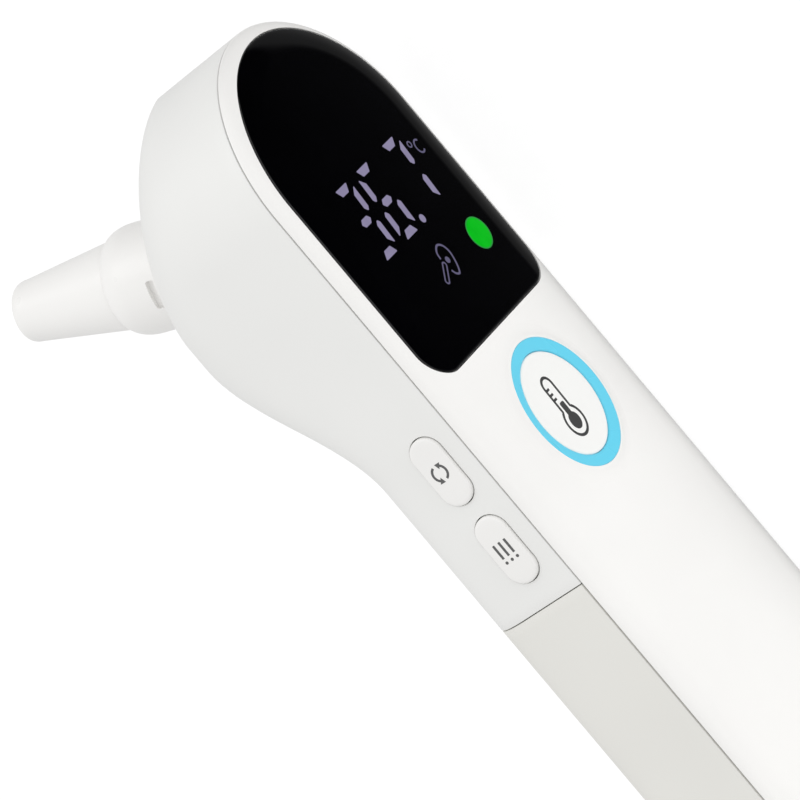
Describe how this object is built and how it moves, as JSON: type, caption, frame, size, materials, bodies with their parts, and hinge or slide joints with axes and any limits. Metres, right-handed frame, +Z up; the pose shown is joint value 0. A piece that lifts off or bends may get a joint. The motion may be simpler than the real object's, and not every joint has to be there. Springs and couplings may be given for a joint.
{
  "type": "digital ear thermometer",
  "caption": "Hand-held ear thermometer with a round display head, an angled ear probe, a ring-lit measure button, side buttons and a sliding battery cover.",
  "frame": {"origin": "on the surface it lies on, under the middle of its bounding box", "axes": "+X from the tail to the round display head, +Y from the display face to the ear probe, +Z up from the plain side it lies on to the side with two buttons"},
  "size_m": [0.142, 0.0495, 0.0365],
  "materials": {
    "front_shell_plastic": "satin white, fine moulded texture",
    "rear_shell_plastic": "satin white, a little greyer than the front",
    "cover_plastic": "soft matt white, fine texture",
    "lens_black": "polished, smoked almost black",
    "foam_tape": "matt foam",
    "display_plastic": "matt black",
    "status_green": "clear green, lit",
    "ring_blue": "milky translucent sky blue",
    "led_yellow": "clear over phosphor",
    "button_white": "satin white",
    "switch_black": "matt",
    "switch_stem": "matt brown",
    "side_button_white": "satin white",
    "circuit_board": "green solder mask",
    "chip_black": "moulded epoxy",
    "ceramic_tan": "fired ceramic",
    "tinned_steel": "tinned, bright",
    "probe_white": "smooth satin white",
    "infrared_window": "polished dark window",
    "gilt_brass": "gilt, polished",
    "nickel_can": "nickel plated",
    "holder_aluminium": "turned",
    "seal_rubber": "soft black",
    "flex_amber": "amber film",
    "tray_plastic": "matt white",
    "cell_jacket": "printed jacket with no lettering",
    "lead_red": "soft insulation",
    "lead_black": "soft insulation",
    "screw_steel": "zinc plated"
  },
  "bodies": {
    "thermometer": {"front_shell": "front_shell_plastic", "rear_shell": "rear_shell_plastic", "display_lens": "lens_black", "lens_tape": "foam_tape", "display_module": "display_plastic", "status_light": "status_green", "button_light_ring": "ring_blue", "ring_leds": "led_yellow", "measure_switch": "switch_black", "mode_switch": "switch_black", "memory_switch": "switch_black", "side_switch_board": "circuit_board", "main_board": "circuit_board", "microcontroller": "chip_black", "small_chips": "chip_black", "board_passives": "ceramic_tan", "crystal": "tinned_steel", "buzzer": "chip_black", "probe_collar": "probe_white", "probe_nozzle": "probe_white", "probe_window": "infrared_window", "waveguide": "gilt_brass", "sensor_can": "nickel_can", "sensor_pins": "gilt_brass", "sensor_holder": "holder_aluminium", "sensor_o_ring": "seal_rubber", "sensor_board": "circuit_board", "sensor_flex": "flex_amber", "battery_tray": "tray_plastic", "battery_1": "cell_jacket", "battery_2": "cell_jacket", "tail_spring": "tinned_steel", "head_spring": "tinned_steel", "positive_contact": "tinned_steel", "negative_contact": "tinned_steel", "bridge_contact": "tinned_steel", "red_lead": "lead_red", "black_lead": "lead_black", "board_screws": "screw_steel", "tray_screws": "screw_steel", "housing_screws": "screw_steel"},
    "measure_button": {"measure_button": "button_white", "measure_switch_stem": "switch_stem"},
    "mode_button": {"mode_button": "side_button_white", "mode_switch_stem": "switch_stem"},
    "memory_button": {"memory_button": "side_button_white", "memory_switch_stem": "switch_stem"},
    "battery_cover": {"battery_cover": "cover_plastic"}
  },
  "joints": [
    {"name": "measure_press", "type": "slide", "parent": "thermometer", "child": "measure_button", "axis": [0, 1, 0], "range_m": [0, 0.0005], "stiffness_N_per_m": 2500},
    {"name": "mode_press", "type": "slide", "parent": "thermometer", "child": "mode_button", "axis": [0, 0, -1], "range_m": [0, 0.0004], "stiffness_N_per_m": 2500},
    {"name": "memory_press", "type": "slide", "parent": "thermometer", "child": "memory_button", "axis": [0, 0, -1], "range_m": [0, 0.0004], "stiffness_N_per_m": 2500},
    {"name": "cover_slide", "type": "slide", "parent": "thermometer", "child": "battery_cover", "axis": [-1, 0, 0], "range_m": [0, 0.075]}
  ]
}
